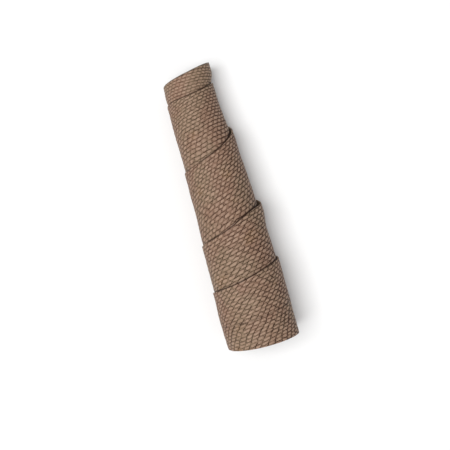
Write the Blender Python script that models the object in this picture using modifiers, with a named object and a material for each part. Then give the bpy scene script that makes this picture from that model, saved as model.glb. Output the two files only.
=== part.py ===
"""A tanned salmon skin, rolled up and lying on its side.

The skin is one sheet of thin leather. It is wound round and round into a
slightly conical tube: the broad head end is innermost, and every further turn
lies outside the one before. One long edge stays flush at the wide end of the
roll. The other long edge runs in towards the tail, so it climbs the roll as a
helix, and its steps are what the eye sees from the side.

The roll lies along Y with its narrow end at +Y, and stands on z = 0. All
lengths below are millimetres until the mesh is made.
"""

import bpy
import numpy as np

MM = 0.001

# The leather
THICKNESS = 0.6
HEAD_TURN = -0.75
TAIL_TURN = 4.84375
TURN_PITCH = 1.16

# The mesh: columns go along the skin, rows across it
COLUMNS_PER_TURN = 32
ROWS = 11
EDGE_CROWDING = 1.5

# The climbing edge: how far down the roll it lies, by turn. Turn 0 is at the
# roll's right side, and a quarter of a turn is on top.
CLIMBING_EDGE = (
    (-0.75, 2.5),
    (-0.3, 0.5),
    (0.0, -3.3),
    (0.25, 0.9),
    (0.5, 3.6),
    (1.0, 8.1),
    (1.25, 13.2),
    (1.5, 14.6),
    (2.0, 36.1),
    (2.25, 48.2),
    (2.36, 51.4),
    (2.5, 53.2),
    (3.0, 79.9),
    (3.14, 83.1),
    (3.27, 89.3),
    (3.5, 94.8),
    (4.0, 111.7),
    (4.12, 113.6),
    (4.3, 118.2),
    (4.5, 120.3),
    (4.9, 124.0),
)

# The flush edge at the wide end, by turn
FLUSH_EDGE = (
    (-0.75, 150.2),
    (0.4, 151.4),
    (1.6, 152.6),
    (2.7, 151.8),
    (3.6, 153.2),
    (4.25, 153.6),
    (4.5, 152.0),
    (4.9, 151.0),
)

# Radius of the roll's core, by distance down the roll
CORE_RADIUS = (
    (-6.0, 12.1),
    (12.0, 12.4),
    (22.0, 12.65),
    (30.0, 12.95),
    (45.0, 13.4),
    (60.0, 13.9),
    (90.0, 14.6),
    (115.0, 14.95),
    (135.0, 14.95),
    (156.0, 14.6),
)

# How far the roll's axis swerves to the right, by distance down the roll
AXIS_SWERVE = (
    (-6.0, 0.0),
    (3.0, 0.0),
    (12.0, -0.45),
    (22.0, -0.35),
    (30.0, 0.0),
    (156.0, 0.0),
)

# Where the climbing edge stands off the turn below it: by turn, how far. Below
# 0 the edge is pressed closer to that turn
EDGE_LIFT = (
    (-0.75, 0.0),
    (-0.2, 0.1),
    (0.0, 2.5),
    (0.25, 0.8),
    (0.5, 0.6),
    (0.75, 0.2),
    (1.0, 0.3),
    (1.25, -0.1),
    (1.5, -0.25),
    (1.88, 0.1),
    (2.03, 0.55),
    (2.2, 0.05),
    (2.5, -0.35),
    (2.88, 0.35),
    (3.03, 1.35),
    (3.2, 0.3),
    (3.5, -0.35),
    (3.85, 0.05),
    (4.0, 0.15),
    (4.2, -0.1),
    (4.5, -0.35),
    (4.9, 0.0),
)
LIFT_HOLD = 4.5
LIFT_REACH = 14.0

# How the roll rests: its axis rises towards the wide end, as a cone's does on
# a floor, and each turn is pressed flat where it reaches what it rests on
AXIS_HEIGHT = 12.57
AXIS_SLOPE = 0.058
LAYER_HEIGHT = 0.9
UNDERSIDE_RAMP = 8.0
SINK = 0.06

LEATHER_COLOUR = (0.266, 0.174, 0.122, 1.0)
LEATHER_ROUGHNESS = 0.62


def smooth(knots, at):
    """A cubic through every knot, with each knot's slope taken from its two neighbours."""
    x, y = np.array(knots).T
    slope = np.gradient(y, x)
    i = np.clip(np.searchsorted(x, at) - 1, 0, len(x) - 2)
    width = x[i + 1] - x[i]
    t = np.clip((at - x[i]) / width, 0.0, 1.0)
    start = (1 + 2 * t) * (1 - t) ** 2 * y[i] + t * (1 - t) ** 2 * width * slope[i]
    end = t * t * (3 - 2 * t) * y[i + 1] + t * t * (t - 1) * width * slope[i + 1]
    return start + end


def lift_share(distance):
    """1 from the edge to where the lift starts to fall, then smoothly down to 0 at its reach."""
    t = np.clip((distance - LIFT_HOLD) / (LIFT_REACH - LIFT_HOLD), 0.0, 1.0)
    return 1 - t * t * (3 - 2 * t)


def rest_height(turn, along):
    """Height of a turn's middle where the underside rests: half a leather, and a layer for each turn under it."""
    layers = np.zeros_like(along)
    for outer in range(1, round(TAIL_TURN - HEAD_TURN) + 1):
        edge = smooth(CLIMBING_EDGE, turn + outer)
        t = np.clip((along - edge) / UNDERSIDE_RAMP + 1.0, 0.0, 1.0)
        layers += np.where(turn + outer <= TAIL_TURN, t * t * (3 - 2 * t), 0.0)
    return THICKNESS / 2 + LAYER_HEIGHT * layers


def floor_radius(turn, along, axis_height):
    """How far from the axis a turn may lie before it reaches what it rests on."""
    from_bottom = 2 * np.pi * ((turn - 0.25) % 1.0 - 0.5)
    downward = np.maximum(np.cos(from_bottom), 0.5)
    return (axis_height - rest_height(turn, along)) / downward


def rolled(turn, across):
    """The middle of the leather at a turn and at a share of the way from climbing to flush edge."""
    top = smooth(CLIMBING_EDGE, turn)
    along = top + (smooth(FLUSH_EDGE, turn) - top) * across**EDGE_CROWDING
    radius = smooth(CORE_RADIUS, along) + TURN_PITCH * turn
    radius += smooth(EDGE_LIFT, turn) * lift_share(along - top)
    axis_height = AXIS_HEIGHT + AXIS_SLOPE * along
    radius = np.minimum(radius, floor_radius(turn, along, axis_height))
    x = radius * np.cos(2 * np.pi * turn) + smooth(AXIS_SWERVE, along)
    z = radius * np.sin(2 * np.pi * turn) + axis_height
    y = -along
    return np.stack([x, y, z], axis=-1)


def leather():
    """The tanned leather: a matt grey brown."""
    material = bpy.data.materials.new("leather")
    material.use_nodes = True
    shader = material.node_tree.nodes["Principled BSDF"]
    shader.inputs["Base Color"].default_value = LEATHER_COLOUR
    shader.inputs["Roughness"].default_value = LEATHER_ROUGHNESS
    shader.inputs["Metallic"].default_value = 0.0
    return material


def skin_sheet():
    """A flat grid, rolled up point by point: x is the turn, y goes across the skin."""
    columns = round((TAIL_TURN - HEAD_TURN) * COLUMNS_PER_TURN)
    bpy.ops.mesh.primitive_grid_add(x_subdivisions=columns, y_subdivisions=ROWS, size=2)
    sheet = bpy.context.object
    count = len(sheet.data.vertices)
    flat = np.empty(count * 3)
    sheet.data.vertices.foreach_get("co", flat)
    x, y, _ = flat.reshape(-1, 3).T
    turn = HEAD_TURN + (TAIL_TURN - HEAD_TURN) * (x + 1) / 2
    points = rolled(turn, (1 - y) / 2)
    sheet.data.vertices.foreach_set("co", (points * MM).ravel())
    sheet.data.update()
    return sheet


def thicken(sheet):
    """Gives the sheet its leather thickness, half to each side."""
    solidify = sheet.modifiers.new("leather thickness", "SOLIDIFY")
    solidify.thickness = THICKNESS * MM
    solidify.offset = 0.0
    solidify.use_even_offset = True
    bpy.ops.object.modifier_apply(modifier=solidify.name)


def rest_on_floor(mesh):
    """Centres the roll over the origin and lets it rest: what would sink below z = 0 lies flat on it."""
    points = np.empty(len(mesh.vertices) * 3)
    mesh.vertices.foreach_get("co", points)
    points = points.reshape(-1, 3)
    low, high = points.min(axis=0), points.max(axis=0)
    middle = (low + high) / 2
    points -= (middle[0], middle[1], low[2] + SINK * MM)
    points[:, 2] = np.maximum(points[:, 2], 0.0)
    mesh.vertices.foreach_set("co", points.ravel())
    mesh.update()


def main():
    for old in list(bpy.data.objects):
        bpy.data.objects.remove(old)
    collection = bpy.data.collections.new("tanned_salmon_skin")
    bpy.context.scene.collection.children.link(collection)
    layers = bpy.context.view_layer.layer_collection.children
    bpy.context.view_layer.active_layer_collection = layers[collection.name]

    sheet = skin_sheet()
    sheet.name = "salmon_skin"
    thicken(sheet)
    rest_on_floor(sheet.data)
    sheet.data.materials.append(leather())
    sheet.data.shade_smooth()
    sheet.data.set_sharp_from_angle(angle=np.radians(45))


main()
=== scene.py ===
# %% [markdown]
# # A tanned salmon skin, rolled up
#
# The object is one sheet of fish leather. The scales are gone, and the
# pockets that held them have left a net of small diamonds on the outside, the
# grain side. The inside, the flesh side, is plain and soft like suede. The
# sheet is wound about five and a half times into a slightly conical tube,
# which lies on its side.
#
# This lesson builds the skin as one closed surface worked out with numpy,
# gives it its leather, and lights it on a pale floor.

import bpy
import numpy as np
from mathutils import Matrix


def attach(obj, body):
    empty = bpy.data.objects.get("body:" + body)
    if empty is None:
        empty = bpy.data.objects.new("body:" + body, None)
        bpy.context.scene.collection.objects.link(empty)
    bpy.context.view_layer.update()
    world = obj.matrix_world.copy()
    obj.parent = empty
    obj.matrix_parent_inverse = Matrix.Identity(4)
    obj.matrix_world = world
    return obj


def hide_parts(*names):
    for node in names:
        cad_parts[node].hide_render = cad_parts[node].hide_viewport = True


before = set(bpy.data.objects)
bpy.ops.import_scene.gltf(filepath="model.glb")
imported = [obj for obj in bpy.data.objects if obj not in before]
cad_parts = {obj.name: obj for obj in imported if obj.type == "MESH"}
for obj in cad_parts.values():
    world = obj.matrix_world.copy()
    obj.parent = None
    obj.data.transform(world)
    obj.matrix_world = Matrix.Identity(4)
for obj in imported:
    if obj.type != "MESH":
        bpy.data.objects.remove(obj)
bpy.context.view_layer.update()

# %% [markdown]
# ## How the skin is wound
#
# Every point of the skin is named by two numbers: its turn, which counts how
# often the skin has been wound round so far, and how far down the roll it
# lies. Turn 0 is at the roll's right side and a quarter of a turn is on top.
#
# One long edge of the skin stays flush at the wide end. The other runs in
# towards the tail, so it climbs down the roll as a helix and makes the steps
# that are seen from the side. These are the same values that the solid was
# made from, so the leather lies where the solid is. All lengths are
# millimetres until the mesh is made.

# %% The two long edges by turn, and the roll's radius and swerve down its length
MM = 0.001
THICKNESS = 0.6
HEAD_TURN = -0.75
TAIL_TURN = 4.84375
TURN_PITCH = 1.16
CLIMBING_EDGE = (
    (-0.75, 2.5),
    (-0.3, 0.5),
    (0.0, -3.3),
    (0.25, 0.9),
    (0.5, 3.6),
    (1.0, 8.1),
    (1.25, 13.2),
    (1.5, 14.6),
    (2.0, 36.1),
    (2.25, 48.2),
    (2.36, 51.4),
    (2.5, 53.2),
    (3.0, 79.9),
    (3.14, 83.1),
    (3.27, 89.3),
    (3.5, 94.8),
    (4.0, 111.7),
    (4.12, 113.6),
    (4.3, 118.2),
    (4.5, 120.3),
    (4.9, 124.0),
)
FLUSH_EDGE = (
    (-0.75, 150.2),
    (0.4, 151.4),
    (1.6, 152.6),
    (2.7, 151.8),
    (3.6, 153.2),
    (4.25, 153.6),
    (4.5, 152.0),
    (4.9, 151.0),
)
CORE_RADIUS = (
    (-6.0, 12.1),
    (12.0, 12.4),
    (22.0, 12.65),
    (30.0, 12.95),
    (45.0, 13.4),
    (60.0, 13.9),
    (90.0, 14.6),
    (115.0, 14.95),
    (135.0, 14.95),
    (156.0, 14.6),
)
AXIS_SWERVE = (
    (-6.0, 0.0),
    (3.0, 0.0),
    (12.0, -0.45),
    (22.0, -0.35),
    (30.0, 0.0),
    (156.0, 0.0),
)


def smooth(knots, at):
    """A cubic through every knot, with each knot's slope taken from its two neighbours."""
    x, y = np.array(knots).T
    slope = np.gradient(y, x)
    i = np.clip(np.searchsorted(x, at) - 1, 0, len(x) - 2)
    width = x[i + 1] - x[i]
    t = np.clip((at - x[i]) / width, 0.0, 1.0)
    start = (1 + 2 * t) * (1 - t) ** 2 * y[i] + t * (1 - t) ** 2 * width * slope[i]
    end = t * t * (3 - 2 * t) * y[i + 1] + t * t * (t - 1) * width * slope[i + 1]
    return start + end


def ease(t):
    """0 up to t = 0, 1 from t = 1, and between them three t squared less two t cubed."""
    t = np.clip(t, 0.0, 1.0)
    return t * t * (3 - 2 * t)


print("the skin has", TAIL_TURN - HEAD_TURN, "turns")

# %% [markdown]
# The climbing edge stands off the turn below it here and there, most where a
# corner has lifted. And the roll has weight: underneath, each turn is pressed
# flat onto the turns below it, and the lowest one onto the floor.

# %% The middle of the leather, anywhere on the skin
EDGE_LIFT = (
    (-0.75, 0.0),
    (-0.2, 0.1),
    (0.0, 2.5),
    (0.25, 0.8),
    (0.5, 0.6),
    (0.75, 0.2),
    (1.0, 0.3),
    (1.25, -0.1),
    (1.5, -0.25),
    (1.88, 0.1),
    (2.03, 0.55),
    (2.2, 0.05),
    (2.5, -0.35),
    (2.88, 0.35),
    (3.03, 1.35),
    (3.2, 0.3),
    (3.5, -0.35),
    (3.85, 0.05),
    (4.0, 0.15),
    (4.2, -0.1),
    (4.5, -0.35),
    (4.9, 0.0),
)
LIFT_HOLD = 4.5
LIFT_REACH = 14.0
AXIS_HEIGHT = 12.57
AXIS_SLOPE = 0.058
LAYER_HEIGHT = 0.9
UNDERSIDE_RAMP = 8.0
LEAST_DOWNWARD = 0.5


def rest_height(turn, along):
    """Height of a turn's middle where the underside rests.

    It is half a leather, and one layer more for each turn that lies under this one.
    """
    layers = np.zeros_like(along)
    for outer in range(1, round(TAIL_TURN - HEAD_TURN) + 1):
        covered = ease((along - smooth(CLIMBING_EDGE, turn + outer)) / UNDERSIDE_RAMP + 1.0)
        layers += np.where(turn + outer <= TAIL_TURN, covered, 0.0)
    return THICKNESS / 2 + LAYER_HEIGHT * layers


def middle(turn, along):
    """The middle of the leather: a circle about the axis, whose radius grows by one pitch a turn.

    Near the climbing edge the radius takes on the edge's lift. Underneath, it is held to what
    keeps the turn above the floor and the turns below it.
    """
    past_hold = (along - smooth(CLIMBING_EDGE, turn) - LIFT_HOLD) / (LIFT_REACH - LIFT_HOLD)
    radius = smooth(CORE_RADIUS, along) + TURN_PITCH * turn
    radius += smooth(EDGE_LIFT, turn) * (1 - ease(past_hold))
    axis_height = AXIS_HEIGHT + AXIS_SLOPE * along
    from_bottom = 2 * np.pi * ((turn - 0.25) % 1.0 - 0.5)
    downward = np.maximum(np.cos(from_bottom), LEAST_DOWNWARD)
    radius = np.minimum(radius, (axis_height - rest_height(turn, along)) / downward)
    angle = 2 * np.pi * turn
    x = radius * np.cos(angle) + smooth(AXIS_SWERVE, along)
    return np.stack([x, -along, radius * np.sin(angle) + axis_height], axis=-1)


print("the head end starts at", np.round(middle(np.array([HEAD_TURN]), np.array([0.0]))[0], 1))

# %% [markdown]
# ## The skin laid flat
#
# Unrolled, the skin has a length and an area. Both come from adding up the
# path turn by turn: a circle's circumference for each turn gives the length,
# and that times the width gives the area. The same sums say later where a
# point lies once the skin is laid flat, because the leather's pattern belongs
# to the skin and not to the roll.

# %% Measure the skin laid flat
TURN_STEPS = 2001


def half_way(turn):
    """How far down the roll the skin's middle lies: half-way between its two long edges."""
    return (smooth(CLIMBING_EDGE, turn) + smooth(FLUSH_EDGE, turn)) / 2


def running_sum(rate):
    """The integral of a rate per turn, from the head end on, by the trapezium rule."""
    steps = (rate[1:] + rate[:-1]) / 2 * np.diff(turns)
    return np.concatenate([[0.0], np.cumsum(steps)])


turns = np.linspace(HEAD_TURN, TAIL_TURN, TURN_STEPS)
mean_radius = smooth(CORE_RADIUS, half_way(turns)) + TURN_PITCH * turns
turn_length = 2 * np.pi * mean_radius
skin_width = smooth(FLUSH_EDGE, turns) - smooth(CLIMBING_EDGE, turns)
length_along = running_sum(turn_length)
SKIN_AREA = running_sum(turn_length * skin_width)[-1]
print(f"and its area is {SKIN_AREA / 100:.0f} square centimetres")

# %% [markdown]
# ## The net of scale pockets
#
# The scales sat in rows along the fish, each row half a scale on from the
# next. What is left of them is a net of small pockets, and their borders are
# three families of lines. Row lines run along the fish between the rows, slant
# lines cut each row into pockets, and weak cross lines slant the other way.
#
# The net could be drawn with a texture alone, but then its outline and its
# shadows would be missing. So every point of the skin gets two counts: how
# many row lines and how many slant lines lie between it and the head end.
# Where a count is whole there is a line. The relief, the colours and the fine
# bump are all worked out from the same two counts, so they agree everywhere.
#
# The tables below go by turn. Each turn shows only a band of its skin, and
# that band's middle is where the counts are most exact. Across the skin the
# spacing may widen from there.

# %% How closely the lines lie, in lines to the millimetre
BAND_MIDDLE = (
    (-0.75, 4.0), (0.25, 7.0), (1.25, 30.7), (2.25, 68.6), (3.25, 103.0), (4.25, 135.5), (4.9, 138.0),
)
ROWS_ACROSS = (
    (-0.75, 0.64), (0.25, 0.64), (1.25, 0.53), (2.25, 0.51), (3.25, 0.53), (4.25, 0.61), (4.9, 0.61),
)
ROWS_WIDEN = ((-0.75, 0.0), (0.25, 0.0), (1.25, 0.007), (2.25, 0.004), (3.25, 0.0), (4.9, 0.0))
ROW_SLOPE = (
    (-0.75, 0.02), (0.25, 0.02), (1.25, 0.2), (2.25, 0.35), (3.25, 0.23), (4.25, 0.17), (4.9, 0.17),
)
SLANTS_ALONG = (
    (-0.75, 0.35), (0.25, 0.35), (1.25, 0.32), (2.25, 0.36), (3.25, 0.28), (4.25, 0.28), (4.9, 0.28),
)
SLANTS_ACROSS = (
    (-0.75, 0.25), (0.25, 0.25), (1.25, 0.2), (2.25, 0.235), (3.25, 0.265), (4.25, 0.27), (4.9, 0.27),
)
SLANTS_WIDEN = (
    (-0.75, 0.0), (0.25, 0.0), (1.25, 0.005), (2.25, 0.0), (3.25, 0.0), (4.25, 0.0055), (4.9, 0.0055),
)

band_drift = np.gradient(smooth(BAND_MIDDLE, turns), turns)
rows_passed = running_sum(
    smooth(ROWS_ACROSS, turns) * (band_drift - smooth(ROW_SLOPE, turns) * turn_length))
slants_passed = running_sum(
    smooth(SLANTS_ALONG, turns) * turn_length - smooth(SLANTS_ACROSS, turns) * band_drift)
print(f"about {slants_passed[-1]:.0f} pockets along the skin")
print(f"and {skin_width.max() * smooth(ROWS_ACROSS, turns).mean():.0f} rows across it")

# %% [markdown]
# No two pockets of a real skin are quite the same size, so the counts are
# pushed about a little, by a slow wave over a hand's breadth of pockets and a
# quick one from pocket to pocket. Both are seeded, so the skin comes out the
# same each time.

# %% Count the lines at a point
WAVES = 10
WAVE_STRETCH = (0.6, 1.6)

# Each push is its height in lines, its wavelength in mm and its seed
ROW_PUSHES = ((0.10, 22.0, 4), (0.05, 4.5, 5))
SLANT_PUSHES = ((0.10, 22.0, 3), (0.05, 5.0, 9))


def wander(x, y, wavelength, seed):
    """A smooth, aimless wave of height about 1.

    It is the sum of ten sines, whose directions, phases and wavelengths are drawn from a seed.
    """
    draw = np.random.default_rng(seed)
    total = np.zeros_like(x)
    for _ in range(WAVES):
        heading, phase = draw.uniform(0, 2 * np.pi), draw.uniform(0, 2 * np.pi)
        length = wavelength * draw.uniform(*WAVE_STRETCH)
        total += np.sin(2 * np.pi * (x * np.cos(heading) + y * np.sin(heading)) / length + phase)
    return total / np.sqrt(WAVES / 2)


def line_counts(turn, along):
    """How many row lines and how many slant lines lie between a point and the head end.

    Each count is the sum up to the middle of the band, and then the spacing times the way across,
    which shrinks where the lines widen. Last come the little pushes.
    """
    length = np.interp(turn, turns, length_along)
    down = along - smooth(BAND_MIDDLE, turn)
    rows = (smooth(ROWS_ACROSS, turn) - smooth(ROWS_WIDEN, turn) / 2 * down) * down
    slants = (smooth(SLANTS_ACROSS, turn) - smooth(SLANTS_WIDEN, turn) / 2 * down) * down
    rows = rows + np.interp(turn, turns, rows_passed)
    slants = np.interp(turn, turns, slants_passed) - slants
    for height, wavelength, seed in ROW_PUSHES:
        rows = rows + height * wander(length, along, wavelength, seed)
    for height, wavelength, seed in SLANT_PUSHES:
        slants = slants + height * wander(length, along, wavelength, seed)
    return rows, slants


tail_counts = line_counts(np.array([TAIL_TURN]), np.array([BAND_MIDDLE[-1][1]]))
print("at the tail end the counts are", np.round(tail_counts, 1).ravel())

# %% [markdown]
# ## The relief
#
# Each pocket is a little cushion. Across the row lines the grain is a wave that
# climbs fast and sinks slowly, since every pocket leans a little over its
# neighbour, and so it is across the slant lines. The cross lines add a third,
# lower wave, and their count is the sum of the other two. Which family is
# deepest changes along the skin: near the head the row lines are, and towards
# the tail the slant lines take over. Some pockets stand higher than others, by
# an amount drawn for each pocket.

# %% Height of the grain at a point, in mm
ROW_DEPTH = (
    (-0.75, 0.11), (0.25, 0.11), (1.25, 0.11), (2.25, 0.10), (3.25, 0.10), (4.25, 0.065), (4.9, 0.065),
)
SLANT_DEPTH = (
    (-0.75, 0.04), (0.25, 0.04), (1.25, 0.05), (2.25, 0.07), (3.25, 0.08), (4.25, 0.125), (4.9, 0.125),
)
CROSS_DEPTH = (
    (-0.75, 0.03), (0.25, 0.03), (1.25, 0.05), (2.25, 0.055), (3.25, 0.055), (4.25, 0.065), (4.9, 0.065),
)
OWN_DEPTH = 0.12
LET_DOWN = 0.7
LEAN = 0.85
BROADNESS = 2.5
HALF_A_LINE = 0.5
DRAW_STEPS = (12.9898, 78.233)
DRAW_DIGITS = 43758.5453


def pocket_draw(slants, crosses):
    """A number from 0 to 1 that is the same all over one pocket.

    It is the far digits of a sine of the pocket's two whole counts.
    """
    sine = np.sin(np.floor(slants) * DRAW_STEPS[0] + np.floor(crosses) * DRAW_STEPS[1])
    return np.modf(np.abs(sine) * DRAW_DIGITS)[0]


def cushion(count):
    """0 on a line and 1 between two lines, with a broad top: 1 less a power of the nearness.

    The nearness is 1 on the line. The share of the way to the next line is raised to the lean
    first, so the cushion climbs faster than it sinks.
    """
    nearness = np.abs(2 * (count % 1.0) ** LEAN - 1)
    return 1 - nearness**BROADNESS


def relief(turn, along):
    """How far the grain stands above its mean: each family's depth times its cushion, all added.

    Each pocket's own height comes on top, and the sum is let down by a share of the depths.
    """
    rows, slants = line_counts(turn, along)
    crosses = rows + slants - HALF_A_LINE
    row_cushion, slant_cushion, cross_cushion = cushion(rows), cushion(slants), cushion(crosses)
    depths = smooth(ROW_DEPTH, turn), smooth(SLANT_DEPTH, turn), smooth(CROSS_DEPTH, turn)
    height = depths[0] * row_cushion + depths[1] * slant_cushion + depths[2] * cross_cushion
    height += OWN_DEPTH * (pocket_draw(slants, crosses) - 0.5) * slant_cushion * cross_cushion
    return height - LET_DOWN * sum(depths)


print("a cushion, from line to line:", np.round(cushion(np.linspace(0, 1, 9)), 2))

# %% [markdown]
# The whole roll is a little uneven too, as anything rolled by hand is. This
# unevenness is the same for every turn at one place of the roll, so all the
# turns bend together and none meets the next.

# %% The roll's unevenness
DENT_HEIGHT = 0.12
DENT_LENGTH = 34.0
DENT_SEED = 8
DENT_ROUND = 16
DENT_SKEW = 0.4


def dents(turn, along):
    """How far the leather lies off its path, in mm: a wandering wave over the roll seen end on."""
    across, up = np.cos(2 * np.pi * turn), np.sin(2 * np.pi * turn)
    wave = wander(DENT_ROUND * across + DENT_SKEW * along, along + DENT_ROUND * up,
                  DENT_LENGTH, DENT_SEED)
    return DENT_HEIGHT * wave


print("the roll is uneven by about", DENT_HEIGHT, "mm")

# %% [markdown]
# ## The mesh
#
# The leather is a closed body with two sides, so it can't be a single plain
# grid. The part of the grain side that shows gets a fine grid, with points
# about half a millimetre apart, enough for the waves of the relief. The part
# that other turns cover, and the whole flesh side, are smooth, and a grid four
# times as coarse will do there. Where a fine row of points meets a coarse one,
# a fan of triangles joins them.

# %% The columns along the skin and the rows across it
ROWS_SHOWN = 84
ROWS_COVERED = 34
FINE_COLUMNS = 4
FINE_ROWS = 7
FINE_SPACING = 0.56
UNDERSIDE_SPACING = 0.9
UNDERSIDE_HALF = 0.13
INNER_SPACING = 1.0
INNER_UNTIL = -0.1
COVER_MARGIN = 2.5
LEAST_SHOWN = 8.0
RIM = 0.3
UNCOVERED_TURNS = 1.3
UNCOVERED_EASE = 0.28

underneath = np.abs((turns - 0.25) % 1.0 - 0.5) < UNDERSIDE_HALF
spacing = np.where(underneath, UNDERSIDE_SPACING, FINE_SPACING)
spacing = np.where(turns < INNER_UNTIL, INNER_SPACING, spacing)
columns_passed = running_sum(turn_length / spacing)
column_count = FINE_COLUMNS * int(np.ceil(columns_passed[-1] / FINE_COLUMNS))
column_places = np.linspace(0, columns_passed[-1], column_count + 1)
column_turn = np.interp(column_places, columns_passed, turns)


def shown_end(turn):
    """How far down the roll a turn's fine grid reaches: a little way under the next turn.

    The last turn has nothing over it, so the grid eases over to the flush rim before the tail end.
    """
    next_edge = smooth(CLIMBING_EDGE, np.minimum(turn + 1, TAIL_TURN))
    under_next = np.maximum(next_edge + COVER_MARGIN, smooth(CLIMBING_EDGE, turn) + LEAST_SHOWN)
    to_rim = ease((turn - (TAIL_TURN - UNCOVERED_TURNS)) / UNCOVERED_EASE)
    return under_next + (smooth(FLUSH_EDGE, turn) - RIM - under_next) * to_rim


def row_places(turn):
    """How far down the roll each row lies: even steps over what shows, then even steps to the rim.

    The fine grid's end is worked out at the coarse columns and runs straight between them, so
    that the fans of triangles there stay flat.
    """
    coarse_turn = turn[::FINE_COLUMNS]
    start, rim = smooth(CLIMBING_EDGE, turn), smooth(FLUSH_EDGE, turn)
    end = np.interp(turn, coarse_turn, shown_end(coarse_turn))
    shown = start[:, None] + (end - start)[:, None] * np.linspace(0, 1, ROWS_SHOWN + 1)
    covered = end[:, None] + (rim - end)[:, None] * np.linspace(0, 1, ROWS_COVERED + 1)[1:]
    return np.concatenate([shown, covered], axis=1)


row_along = row_places(column_turn)
column_turns = np.broadcast_to(column_turn[:, None], row_along.shape)
print(f"{column_count} columns, rows up to {np.diff(row_along, axis=1).max():.2f} mm apart")

# %% [markdown]
# Each side of the leather lies half a thickness from its middle, straight out
# from the surface. That direction is the cross product of two short steps on
# the surface, one along the skin and one across it. The relief goes on top on
# the grain side. It fades out where the next turn covers it, because the
# coarse grid that starts there is too coarse to carry it.

# %% The two sides of the leather
TURN_STEP = 5e-4
DOWN_STEP = 0.05
COVER_FADE = 3.0


def outward(turn, along):
    """The unit normal: the cross product of a short step round the roll and one down it."""
    round_step = middle(turn + TURN_STEP, along) - middle(turn - TURN_STEP, along)
    down_step = middle(turn, along + DOWN_STEP) - middle(turn, along - DOWN_STEP)
    normal = np.cross(round_step, down_step)
    return normal / np.linalg.norm(normal, axis=-1, keepdims=True)


normal = outward(column_turns, row_along)
body = middle(column_turns, row_along) + normal * dents(column_turns, row_along)[..., None]
plain_grain = body + normal * (THICKNESS / 2)
shown = 1 - ease((row_along - shown_end(column_turn)[:, None]) / COVER_FADE)
raised = relief(column_turns, row_along) * shown
grain = plain_grain + normal * raised[..., None]
flesh = body - normal * (THICKNESS / 2)
print(f"the grain lies {raised.min():.2f} to {raised.max():.2f} mm above its plain surface")

# %% [markdown]
# Now the points are numbered. The fine grid holds every column of the rows
# that show. The covered grain and the flesh side keep only every fourth
# column, and the flesh side only every seventh of the rows that show.

# %% Number the points
shown_rows = np.arange(ROWS_SHOWN + 1)
covered_rows = np.arange(ROWS_SHOWN + 1, row_along.shape[1])
coarse_columns = np.arange(0, column_count + 1, FINE_COLUMNS)
flesh_rows = np.concatenate([shown_rows[::FINE_ROWS], covered_rows])


def number_grid(first, column_total, row_total):
    """Point numbers from first on, in as many columns and rows: one column after the other."""
    return first + np.arange(column_total * row_total).reshape(column_total, row_total)


fine = number_grid(0, column_count + 1, len(shown_rows))
covered_grain = number_grid(fine.size, len(coarse_columns), len(covered_rows))
flesh_numbers = number_grid(fine.size + covered_grain.size, len(coarse_columns), len(flesh_rows))
coarse = np.concatenate([fine[coarse_columns, -1:], covered_grain], axis=1)


def gather(grain_field, flesh_field):
    """A field on the full grid, in the order of the point numbers: fine grain, covered, flesh."""
    covered = np.ix_(coarse_columns, covered_rows)
    under = np.ix_(coarse_columns, flesh_rows)
    width = grain_field.shape[2:]
    parts = [grain_field[:, shown_rows], grain_field[covered], flesh_field[under]]
    return np.concatenate([part.reshape(-1, *width) for part in parts])


print(flesh_numbers.max() + 1, "points")

# %% [markdown]
# Then they are joined into faces: the three grids, the narrow strips along the
# rims and the two ends, and the fans wherever fine meets coarse. On a closed
# body every edge is used by exactly two faces, once each way, and that is
# easily tested.

# %% Join the points into faces


def quads(grid):
    """One four-sided face for each square of a grid, round the skin first and then down it."""
    corners = [grid[:-1, :-1], grid[1:, :-1], grid[1:, 1:], grid[:-1, 1:]]
    return np.stack(corners, axis=-1).reshape(-1, 4)


def fans(fine_line, coarse_line, steps):
    """Triangles between a fine line of points and a coarse one, with one point every so many steps.

    The first half of the steps fans out from the nearer coarse point, the second half from the
    other, and one triangle stands on the coarse side.
    """
    first, last, half = coarse_line[:-1], coarse_line[1:], steps // 2
    faces = []
    for step in range(steps):
        hub = first if step < half else last
        faces.append(np.stack([fine_line[step:-1:steps], fine_line[step + 1::steps], hub], axis=-1))
    faces.append(np.stack([fine_line[half:-1:steps], last, first], axis=-1))
    return np.concatenate(faces)


def strip(first_line, second_line):
    """Four-sided faces between two lines with equally many points."""
    return quads(np.stack([first_line, second_line], axis=0))


fine_flesh = ROWS_SHOWN // FINE_ROWS
four_sided = np.concatenate([
    quads(fine),
    quads(coarse[:, 1:]),
    quads(flesh_numbers)[:, ::-1],
    strip(flesh_numbers[:, -1], coarse[:, -1]),
    strip(flesh_numbers[0, fine_flesh:], coarse[0]),
    strip(coarse[-1], flesh_numbers[-1, fine_flesh:]),
])
three_sided = np.concatenate([
    fans(fine[:, -1], coarse[:, 1], FINE_COLUMNS),
    fans(fine[:, 0], flesh_numbers[:, 0], FINE_COLUMNS)[:, ::-1],
    fans(fine[0], flesh_numbers[0, : fine_flesh + 1], FINE_ROWS),
    fans(fine[-1], flesh_numbers[-1, : fine_flesh + 1], FINE_ROWS)[:, ::-1],
])

edges = np.concatenate([
    face_set[:, [i, (i + 1) % face_set.shape[1]]]
    for face_set in (four_sided, three_sided) for i in range(face_set.shape[1])
])
one_way = edges[:, 0] * (flesh_numbers.max() + 1) + edges[:, 1]
other_way = edges[:, 1] * (flesh_numbers.max() + 1) + edges[:, 0]
used_once = len(np.unique(one_way)) == len(one_way)
closed = used_once and np.array_equal(np.sort(one_way), np.sort(other_way))
print("closed, with every edge shared by two faces that agree:", closed)
print(len(four_sided) * 2 + len(three_sided), "triangles")

# %% [markdown]
# The roll is put where the solid is: centred over the origin by its box, and
# pressed the same hair's breadth into the floor, where it lies flat.

# %% Put the roll on the floor
SINK = 0.06

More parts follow.
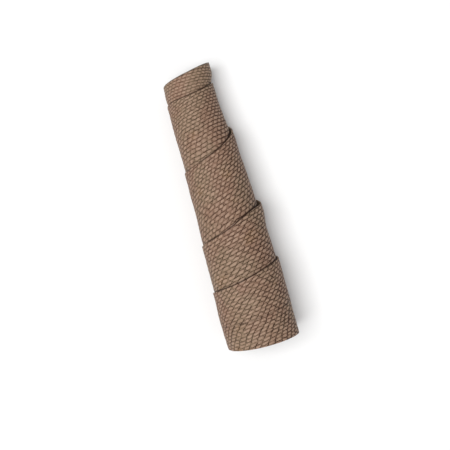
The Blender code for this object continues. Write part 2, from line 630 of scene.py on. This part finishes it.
flat_points = gather(plain_grain, flesh)
low, high = flat_points.min(axis=0), flat_points.max(axis=0)
to_rest = np.array([(low[0] + high[0]) / 2, (low[1] + high[1]) / 2, low[2] + SINK])
points = gather(grain, flesh) - to_rest
points[:, 2] = np.maximum(points[:, 2], 0.0)
print("the skin's box, in mm:", np.round(points.min(axis=0), 1), np.round(points.max(axis=0), 1))

# %% [markdown]
# The mesh takes along what its leather needs to know. Two UV maps hold the two
# line counts and the place on the skin laid flat. Three plain attributes hold
# how far a point belongs to the flesh side, how dark each family of lines is
# there, and how far it is to the climbing edges of its own turn and the next,
# which counts as 20 mm where no edge is near.
#
# How dark the lines are follows how deep they are. On the roll's right side
# they are made darker still, with painted shade for the light that grazes that
# side, and a little weaker near the head end.

# %% Make the skin's mesh
SHARP_ANGLE = np.radians(50)
FAR_OFF = 20.0
FULL_DEPTH = 0.1
DARKNESS = 0.70
RIGHT_PAINTED_SHADE = 1.5
RIGHT_SHADE_POWER = 1.5
HEAD_DARKNESS = 0.75
HEAD_UNTIL = 0.4


def add_field(name, kind, key, on_grain, on_flesh):
    """Puts a value or a vector for each point of both sides into a new attribute of the mesh."""
    values = gather(on_grain, on_flesh).astype(np.float32)
    mesh.attributes.new(name, kind, "POINT").data.foreach_set(key, values.ravel())


mesh = bpy.data.meshes.new("rolled_skin")
mesh.from_pydata((points * MM).tolist(), [], four_sided.tolist() + three_sided.tolist())
mesh.update()

corner = np.empty(len(mesh.loops), dtype=np.int32)
mesh.loops.foreach_get("vertex_index", corner)
scale_net = np.stack(line_counts(column_turns, row_along), axis=-1)
laid_flat = np.stack([np.interp(column_turns, turns, length_along),
                      row_along - half_way(column_turns)], axis=-1)
for name, field in (("scale_net", scale_net), ("laid_flat", laid_flat * MM)):
    layer = mesh.uv_layers.new(name=name)
    layer.data.foreach_set("uv", gather(field, field)[corner].astype(np.float32).ravel())

add_field("flesh_side", "FLOAT", "value", np.zeros(row_along.shape), np.ones(row_along.shape))

# The extra darkness towards the roll's right side is painted shade
to_the_right = np.maximum(np.cos(2 * np.pi * column_turns), 0.0)[..., None]
families = (ROW_DEPTH, SLANT_DEPTH, CROSS_DEPTH)
depths = np.stack([smooth(family, column_turns) for family in families], axis=-1)
depths = depths / FULL_DEPTH * (DARKNESS + RIGHT_PAINTED_SHADE * to_the_right**RIGHT_SHADE_POWER)
depths *= HEAD_DARKNESS + (1 - HEAD_DARKNESS) * ease(column_turns - HEAD_UNTIL)[..., None]
add_field("line_depths_and_shade", "FLOAT_VECTOR", "vector", depths, depths)

next_turn = column_turns + 1
next_edge = smooth(CLIMBING_EDGE, np.minimum(next_turn, TAIL_TURN))
from_rim = row_along - smooth(CLIMBING_EDGE, column_turns)
to_next = np.where(next_turn < TAIL_TURN, next_edge - row_along, FAR_OFF)
edge_distances = np.stack([from_rim, to_next, np.zeros_like(from_rim)], axis=-1)
edge_distances = np.clip(edge_distances, -FAR_OFF, FAR_OFF)
add_field("edge_distances", "FLOAT_VECTOR", "vector", edge_distances, edge_distances)
mesh.shade_smooth()
mesh.set_sharp_from_angle(angle=SHARP_ANGLE)
print([layer.name for layer in mesh.uv_layers], "on", len(mesh.polygons), "faces")

# %% [markdown]
# The skin rides on the roll's one body and stands for its solid.

# %% Put the skin in the scene
skin = bpy.data.objects.new("rolled_skin", mesh)
bpy.context.scene.collection.objects.link(skin)
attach(skin, "root")
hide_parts("salmon_skin")
print(skin.name, "stands for salmon_skin")

# %% [markdown]
# ## Shader maths in Python
#
# A material is a graph of nodes. Wiring many small Math nodes by hand is hard
# to read, so one class wraps a socket and lets Python's own operators add the
# nodes.

# %% A wire between shader nodes


class Wire:
    """An output socket. Adding, taking away or multiplying wires and numbers adds Math nodes."""

    def __init__(self, socket):
        self.socket = socket

    def node(self, kind, settings=None, inputs=None, output=0):
        """Adds any other node to this wire's graph, and gives one of its outputs."""
        return Wire(add_node(self.socket.id_data, kind, settings, inputs).outputs[output])

    def maths(self, operation, *values):
        """Adds a Math node with that operation on wires and numbers, in their order."""
        return self.node("ShaderNodeMath", {"operation": operation}, dict(enumerate(values)))

    def __add__(self, other):
        return self.maths("ADD", self, other)

    def __radd__(self, other):
        return self.maths("ADD", other, self)

    def __sub__(self, other):
        return self.maths("SUBTRACT", self, other)

    def __rsub__(self, other):
        return self.maths("SUBTRACT", other, self)

    def __mul__(self, other):
        return self.maths("MULTIPLY", self, other)

    def __rmul__(self, other):
        return self.maths("MULTIPLY", other, self)


def add_node(tree, kind, settings=None, inputs=None):
    """Adds a node, sets its settings, then gives each named or numbered socket its value or link."""
    node = tree.nodes.new(kind)
    for name, value in (settings or {}).items():
        setattr(node, name, value)
    for name, value in (inputs or {}).items():
        if isinstance(value, Wire):
            tree.links.new(value.socket, node.inputs[name])
        else:
            node.inputs[name].default_value = value
    return node


def steps_up(wire, low, high):
    """0 below low, 1 above high, and a smooth step between."""
    return wire.node("ShaderNodeMapRange", {"interpolation_type": "SMOOTHSTEP"},
                     {"Value": wire, "From Min": low, "From Max": high})


def blend(share, first, second):
    """The first colour where share is 0 and the second where it is 1."""
    return share.node("ShaderNodeMix", {"data_type": "RGBA"},
                      {0: share, 6: first, 7: second}, output=2)


def cloudy(place, scale, detail=2.0):
    """A noise from 0 to 1 with about so many lumps to the metre."""
    return place.node("ShaderNodeTexNoise", None,
                      {"Vector": place, "Scale": scale, "Detail": detail})


def split(vector, count):
    """The first so many of a vector's three numbers, as one wire each."""
    return [vector.node("ShaderNodeSeparateXYZ", None, {0: vector}, output=i) for i in range(count)]


# %% [markdown]
# ## The leather
#
# Tanned salmon is dyed a grey brown. The crown of each pocket is worn pale
# and has a slight shine, the lines between the pockets are dark, and over a
# hand's breadth the brown drifts from warm to a little green. The flesh side
# is paler and has no shine at all, and the cut edge shows the same pale core.
#
# The material starts with what the mesh took along: wires that say where on
# the skin a point lies.

# %% Start the leather's material
leather = bpy.data.materials.new("salmon_leather")
leather.use_nodes = True
tree = leather.node_tree
shader = tree.nodes["Principled BSDF"]


def carried(kind, settings, output):
    """A wire from a node that reads what the mesh carries."""
    return Wire(add_node(tree, kind, settings).outputs[output])


net = carried("ShaderNodeUVMap", {"uv_map": "scale_net"}, 0)
place = carried("ShaderNodeUVMap", {"uv_map": "laid_flat"}, 0)
inside = carried("ShaderNodeAttribute", {"attribute_name": "flesh_side"}, "Fac")
rows, slants = split(net, 2)
from_head, from_middle = split(place, 2)
row_darkness, slant_darkness, cross_darkness = split(
    carried("ShaderNodeAttribute", {"attribute_name": "line_depths_and_shade"}, "Vector"), 3)
from_rim, to_next = split(
    carried("ShaderNodeAttribute", {"attribute_name": "edge_distances"}, "Vector"), 2)
print(len(tree.nodes), "nodes so far")

# %% [markdown]
# The brown drifts over the skin in broad clouds, greenish in some places and
# ochre in a few spots. Noise alone would put them anywhere, so a few places
# are named where the clouds gather.

# %% Broad drifts of colour
WARM = (0.245, 0.143, 0.097, 1.0)
GREENISH = (0.244, 0.168, 0.110, 1.0)
OCHRE = (0.290, 0.170, 0.085, 1.0)
CORE_SHARE = 0.2

# Each place is its turn, how far down the roll it is, and its radius in mm
GREEN_PLACES = ((4.35, 123.0, 9.0), (2.34, 58.0, 7.0))
GREEN_LUMPS, GREEN_PULL, GREEN_FROM, GREEN_FULL = 50.0, 0.35, 0.40, 0.62
OCHRE_PLACES = ((2.2, 61.0, 5.0), (3.18, 96.0, 6.0))
OCHRE_LUMPS, OCHRE_PULL, OCHRE_FROM, OCHRE_FULL = 75.0, 0.25, 0.60, 0.75
OCHRE_SHARE = 0.5


def patch(turn, along, radius):
    """1 at a place on the skin, and a smooth step down to 0 at a radius from it."""
    centre = (float(np.interp(turn, turns, length_along)) * MM,
              float(along - half_way(turn)) * MM, 0.0)
    away = place.node("ShaderNodeVectorMath", {"operation": "DISTANCE"},
                      {0: place, 1: centre}, output=1)
    return 1 - steps_up(away, CORE_SHARE * radius * MM, radius * MM)


green_clouds = cloudy(place, GREEN_LUMPS) + GREEN_PULL * sum(patch(*spot) for spot in GREEN_PLACES)
ochre_clouds = cloudy(place, OCHRE_LUMPS) + OCHRE_PULL * sum(patch(*spot) for spot in OCHRE_PLACES)
brown = blend(steps_up(green_clouds, GREEN_FROM, GREEN_FULL), WARM, GREENISH)
brown = blend(steps_up(ochre_clouds, OCHRE_FROM, OCHRE_FULL) * OCHRE_SHARE, brown, OCHRE)
print(len(GREEN_PLACES), "green places and", len(OCHRE_PLACES), "ochre ones")

# %% [markdown]
# The lines come from the two counts. A line is dark where its count is whole,
# and each family has its own width. The counts are first bent a little by a
# fine noise, since a line drawn by skin is never straight, and another noise
# makes every line strong in one place and weak in the next. The cross lines
# lie half a line off the sum of the two counts, as they do in the relief. Each
# pocket also gets one number of its own, from its whole counts.

# %% Lines and crowns
WOBBLE_LUMPS, WOBBLE_DETAIL = 500.0, 1.0
ROW_BEND, SLANT_BEND = 0.3, 0.35
STRENGTH_LUMPS, STRENGTH_FROM, STRENGTH_FULL = 520.0, 0.3, 0.65
WEAKEST_LINE = 0.2

# How near to a line it is fully dark, and how near it starts to darken
ROW_LINE = (0.02, 0.27)
SLANT_LINE = (0.02, 0.2)
CROSS_LINE = (0.02, 0.17)
CROSS_WEIGHT = 0.95
LINE_GAIN = 1.8

# How far from a line a crown starts, and where it is full
ROW_CROWN = (0.1, 0.6)
SLANT_CROWN = (0.05, 0.5)
CROSS_CROWN = (0.05, 0.5)
UNCROSSED = 0.4


def to_line(count):
    """0 on a line and 1 half-way between two lines: twice the way to the nearest whole count."""
    return count.maths("PINGPONG", count, 0.5) * 2


wobble = cloudy(place, WOBBLE_LUMPS, WOBBLE_DETAIL) - 0.5
rows_bent = rows + ROW_BEND * wobble
slants_bent = slants - SLANT_BEND * wobble
crosses_bent = rows_bent + slants_bent + HALF_A_LINE
counts = net.node("ShaderNodeCombineXYZ", None, {0: slants_bent, 1: crosses_bent})
pocket = net.node("ShaderNodeVectorMath", {"operation": "FLOOR"}, {0: counts})
own = pocket.node("ShaderNodeTexWhiteNoise", {"noise_dimensions": "2D"}, {"Vector": pocket})

strength = steps_up(cloudy(place, STRENGTH_LUMPS), STRENGTH_FROM, STRENGTH_FULL) + WEAKEST_LINE
row_near, slant_near, cross_near = to_line(rows_bent), to_line(slants_bent), to_line(crosses_bent)
# The line darkness carried by the mesh holds painted shade on the roll's right side
row_line = (1 - steps_up(row_near, *ROW_LINE)) * row_darkness
slant_line = (1 - steps_up(slant_near, *SLANT_LINE)) * slant_darkness
cross_line = (1 - steps_up(cross_near, *CROSS_LINE)) * cross_darkness * CROSS_WEIGHT
darkest = net.maths("MAXIMUM", net.maths("MAXIMUM", row_line, slant_line), cross_line)
lines = net.maths("MINIMUM", darkest * strength * LINE_GAIN, 1.0)
crossed = UNCROSSED + (1 - UNCROSSED) * steps_up(cross_near, *CROSS_CROWN)
crown = steps_up(row_near, *ROW_CROWN) * steps_up(slant_near, *SLANT_CROWN) * crossed
print(len(tree.nodes), "nodes so far")

# %% [markdown]
# The crowns are laid over the brown first, each as pale as its pocket's own
# number says. Then come small dark worn spots, and the lines last of all.

# %% Crowns, worn spots and lines
CROWN = (0.358, 0.240, 0.170, 1.0)
WORN_DARK = (0.150, 0.085, 0.055, 1.0)
LINE = (0.024, 0.009, 0.005, 1.0)
CROWN_SHARE, OWN_SHARE = 0.34, 0.6
WORN_LUMPS, WORN_DETAIL, WORN_FROM, WORN_FULL = 700.0, 3.0, 0.45, 0.75
WORN_SHARE = 0.5
LINE_SHARE = 0.93

worn = steps_up(cloudy(place, WORN_LUMPS, WORN_DETAIL), WORN_FROM, WORN_FULL)
brown = blend(crown * (CROWN_SHARE + OWN_SHARE * own), brown, CROWN)
brown = blend(worn * WORN_SHARE, brown, WORN_DARK)
brown = blend(lines * LINE_SHARE, brown, LINE)
print(len(tree.nodes), "nodes so far")

# %% [markdown]
# Three more marks go over the skin as a whole. Just before the next turn
# covers it, the skin is darkened with painted shade, the shadow that the next
# turn's edge casts. Along its middle runs the fish's lateral line, thin and
# broken. And near the head end the climbing edge dried hard and grey, in a rim less than a millimetre
# wide.

# %% The painted shade at the seam, the lateral line and the dried rim
DRIED_RIM = (0.060, 0.062, 0.052, 1.0)
SEAM_SHADE_FULL, SEAM_SHADE_REACH, SEAM_SHADE_SHARE = 0.1, 1.2, 0.92
DRIED_FULL, DRIED_REACH, DRIED_SHARE = 0.1, 0.8, 0.7

# These lengths are in metres, as the skin's place laid flat is
LATERAL_LINE = 0.003
LATERAL_SWERVE = 0.001
LATERAL_FULL, LATERAL_REACH, LATERAL_SHARE = 0.0001, 0.0006, 0.6
DRIED_UNTIL, DRIED_NONE = 0.09, 0.13

# Painted shade: a strip up to 1.2 mm before the next turn's edge, where that edge casts its shadow
seam_shade = 1 - steps_up(to_next, SEAM_SHADE_FULL, SEAM_SHADE_REACH)
off_lateral = net.maths("ABSOLUTE", from_middle - LATERAL_LINE + LATERAL_SWERVE * wobble)
lateral = 1 - steps_up(off_lateral, LATERAL_FULL, LATERAL_REACH)
at_rim = 1 - steps_up(from_rim, DRIED_FULL, DRIED_REACH)
dried = at_rim * (1 - steps_up(from_head, DRIED_UNTIL, DRIED_NONE))
# The painted shade under the next turn's edge is blended towards the line colour
brown = blend(seam_shade * SEAM_SHADE_SHARE, brown, LINE)
brown = blend(lateral * strength * LATERAL_SHARE, brown, LINE)
brown = blend(dried * DRIED_SHARE, brown, DRIED_RIM)
print(len(tree.nodes), "nodes so far")

# %% [markdown]
# The flesh side is a plain suede: two pale browns in a fine cloudy mix.
#
# Last come shine and bump. Crowns are smoother than lines, and suede is rough
# all over. The bump repeats the crowns and the lines at a scale that the mesh
# is too coarse for, and adds a fine grain to both sides. The last value is the
# same all over, so it is set on the shader itself: leather shines less than
# plastic does.

# %% The flesh side, the shine and the bump
FLESH = (0.330, 0.245, 0.180, 1.0)
FLESH_DARK = (0.240, 0.165, 0.115, 1.0)
SUEDE_LUMPS, SUEDE_DETAIL, SUEDE_FROM, SUEDE_FULL = 260.0, 5.0, 0.3, 0.7
ROUGHNESS, CROWN_SMOOTHER, LINE_ROUGHER, SUEDE_ROUGHER = 0.60, 0.14, 0.15, 0.25
GRAIN_LUMPS, GRAIN_DETAIL = 1400.0, 4.0
CROWN_RISE, OWN_RISE, GRAIN_RISE = 0.35, 0.3, 0.3
BUMP_STRENGTH, BUMP_DEPTH = 0.8, 0.00014
SPECULAR_LEVEL = 0.15

suede_clouds = cloudy(place, SUEDE_LUMPS, SUEDE_DETAIL)
suede = blend(steps_up(suede_clouds, SUEDE_FROM, SUEDE_FULL), FLESH_DARK, FLESH)
colour = blend(inside, brown, suede)
roughness = ROUGHNESS - CROWN_SMOOTHER * crown + LINE_ROUGHER * lines + SUEDE_ROUGHER * inside
grain_height = (crown * (CROWN_RISE + OWN_RISE * own) - lines) * (1 - inside)
height = grain_height + cloudy(place, GRAIN_LUMPS, GRAIN_DETAIL) * GRAIN_RISE
bump = net.node("ShaderNodeBump", None,
                {"Strength": BUMP_STRENGTH, "Distance": BUMP_DEPTH, "Height": height})
tree.links.new(colour.socket, shader.inputs["Base Color"])
tree.links.new(roughness.socket, shader.inputs["Roughness"])
tree.links.new(bump.socket, shader.inputs["Normal"])
shader.inputs["Specular IOR Level"].default_value = SPECULAR_LEVEL
mesh.materials.append(leather)
print(leather.name, len(tree.nodes), "nodes")

# %% [markdown]
# ## The floor, the light and the camera
#
# The roll lies on a plain white floor. One broad, soft light comes from the
# upper left of the picture, and the pale surroundings fill in the shadows.

# %% A pale floor
FLOOR_HALF = 4.0
PAPER = (0.9, 0.9, 0.9, 1.0)
PAPER_ROUGHNESS = 0.9

floor_mesh = bpy.data.meshes.new("floor")
floor_corners = [(-FLOOR_HALF, -FLOOR_HALF, 0), (FLOOR_HALF, -FLOOR_HALF, 0),
                 (FLOOR_HALF, FLOOR_HALF, 0), (-FLOOR_HALF, FLOOR_HALF, 0)]
floor_mesh.from_pydata(floor_corners, [], [(0, 1, 2, 3)])
floor = bpy.data.objects.new("floor", floor_mesh)
bpy.context.scene.collection.objects.link(floor)
paper = bpy.data.materials.new("white_paper")
paper.use_nodes = True
paper_shader = paper.node_tree.nodes["Principled BSDF"]
paper_shader.inputs["Base Color"].default_value = PAPER
paper_shader.inputs["Roughness"].default_value = PAPER_ROUGHNESS
floor_mesh.materials.append(paper)
print("the floor is", 2 * FLOOR_HALF, "m wide")

# %% [markdown]
# The lamp's place is given in the picture's own directions: how far to the
# right, how far up the picture and how far towards the eye.

# %% Soft light
PICTURE_TILT = np.radians(-16.7)
KEY_RIGHT, KEY_UP, KEY_TO_EYE = -0.29, -0.1, 1.0
KEY_DISTANCE, KEY_SIZE, KEY_POWER = 1.5, 0.9, 18.5
ROOM_COLOUR = (1.0, 1.0, 1.0, 1.0)
ROOM_STRENGTH = 0.5

picture_right = np.array([np.cos(PICTURE_TILT), np.sin(PICTURE_TILT), 0.0])
picture_up = np.array([-np.sin(PICTURE_TILT), np.cos(PICTURE_TILT), 0.0])
to_eye = np.array([0.0, 0.0, 1.0])


def soft_light(name, towards, distance, size, power):
    """A square lamp that far from the origin in a direction, turned to face the origin.

    A lamp shines against its own z axis, so that axis is the direction, and the other two are
    cross products with it.
    """
    lamp = bpy.data.lights.new(name, "AREA")
    lamp.shape, lamp.size, lamp.energy = "SQUARE", size, power
    holder = bpy.data.objects.new(name, lamp)
    z = np.array(towards) / np.linalg.norm(towards)
    holder.location = z * distance
    x = np.cross([0.0, 1.0, 0.0], z)
    x /= np.linalg.norm(x)
    holder.rotation_euler = Matrix(np.stack([x, np.cross(z, x), z], axis=1).tolist()).to_euler()
    bpy.context.scene.collection.objects.link(holder)


key_direction = KEY_RIGHT * picture_right + KEY_UP * picture_up + KEY_TO_EYE * to_eye
soft_light("key_light", key_direction, KEY_DISTANCE, KEY_SIZE, KEY_POWER)
world = bpy.data.worlds.new("studio")
world.use_nodes = True
world.node_tree.nodes["Background"].inputs["Color"].default_value = ROOM_COLOUR
world.node_tree.nodes["Background"].inputs["Strength"].default_value = ROOM_STRENGTH
bpy.context.scene.world = world
bpy.context.scene.view_settings.view_transform = "Standard"
print("one soft light and a pale room")

# %% [markdown]
# The camera looks straight down on the roll, and is turned so that the roll
# lies across the picture as it should. Its angle takes in a known width of
# the floor.

# %% The camera
EYE_HEIGHT = 450.0
EYE_ON_ROLL = (-2.6, -86.3)
PICTURE_WIDTH = 259.65

eye = np.array([EYE_ON_ROLL[0] - to_rest[0], EYE_ON_ROLL[1] - to_rest[1], EYE_HEIGHT])
lens = bpy.data.cameras.new("camera")
lens.angle = 2 * np.arctan(PICTURE_WIDTH / 2 / EYE_HEIGHT)
camera = bpy.data.objects.new("camera", lens)
camera.location = eye * MM
camera.rotation_euler = (0.0, 0.0, PICTURE_TILT)
bpy.context.scene.collection.objects.link(camera)
bpy.context.scene.camera = camera
print("the camera is at", np.round(eye, 1), "mm")
